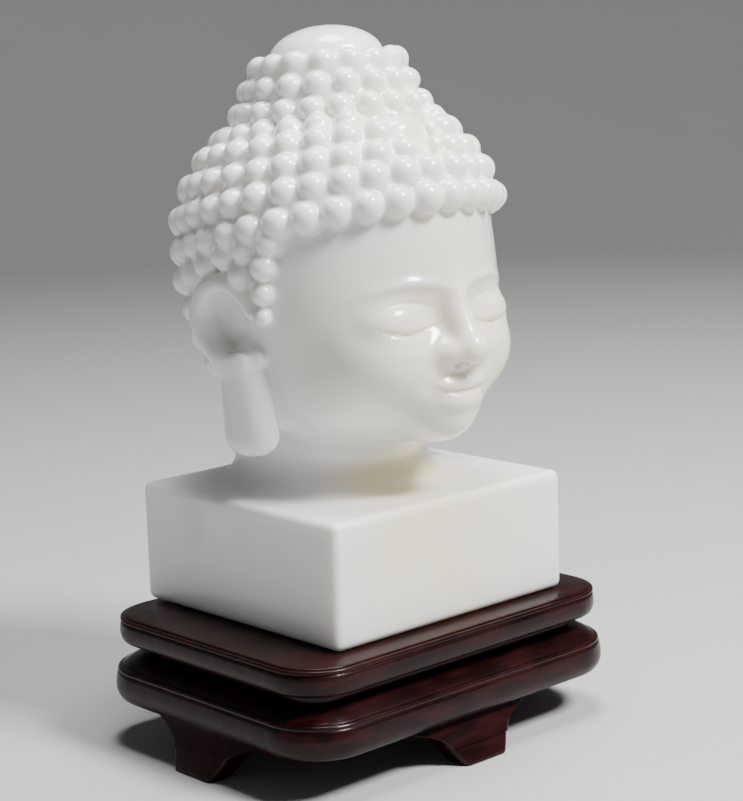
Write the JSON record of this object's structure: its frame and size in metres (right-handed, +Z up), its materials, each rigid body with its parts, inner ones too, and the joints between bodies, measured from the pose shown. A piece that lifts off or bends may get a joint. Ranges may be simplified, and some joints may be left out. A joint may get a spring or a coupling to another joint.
{
  "type": "jade buddha head statue",
  "caption": "Carved jade Buddha head with curled hair and long ear lobes, standing on a square block of the same stone, set on a low lacquered wooden stand with bracket feet.",
  "frame": {"origin": "on the table, under the middle of the object", "axes": "+Z up; the statue faces -Y; +X is the statue's own left"},
  "size_m": [0.1738, 0.1466, 0.2732],
  "materials": {
    "jade": "polished pale jade, satin on the block",
    "lacquered_wood": "glossy dark red-brown lacquer"
  },
  "bodies": {
    "root": {"buddha_head": "jade", "stand_top_board": "lacquered_wood", "stand_waist": "lacquered_wood", "stand_base_board": "lacquered_wood", "stand_foot_front": "lacquered_wood", "stand_foot_back": "lacquered_wood", "stand_foot_left": "lacquered_wood", "stand_foot_right": "lacquered_wood"}
  },
  "joints": []
}
